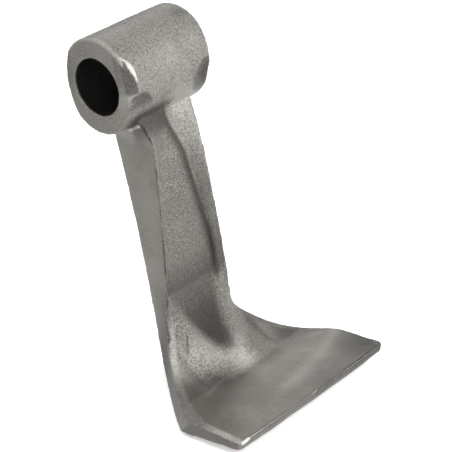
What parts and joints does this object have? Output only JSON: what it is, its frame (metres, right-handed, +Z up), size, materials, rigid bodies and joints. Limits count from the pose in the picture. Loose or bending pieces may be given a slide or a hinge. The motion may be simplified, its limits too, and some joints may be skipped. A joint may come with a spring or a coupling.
{
  "type": "mulcher hammer blade",
  "caption": "One-piece forged hammer for a flail mulcher: bored eye, channelled shank and a wide flared blade with a blunt cutting edge.",
  "frame": {"origin": "middle of the eye, on the axis of the bore", "axes": "+X along the bore axis, +Z up along the shank from blade to eye, -Y towards the cutting edge"},
  "size_m": [0.097, 0.0964, 0.1646],
  "materials": {
    "forged_steel": "satin"
  },
  "bodies": {
    "root": {"hammer_blade": "forged_steel"}
  },
  "joints": []
}
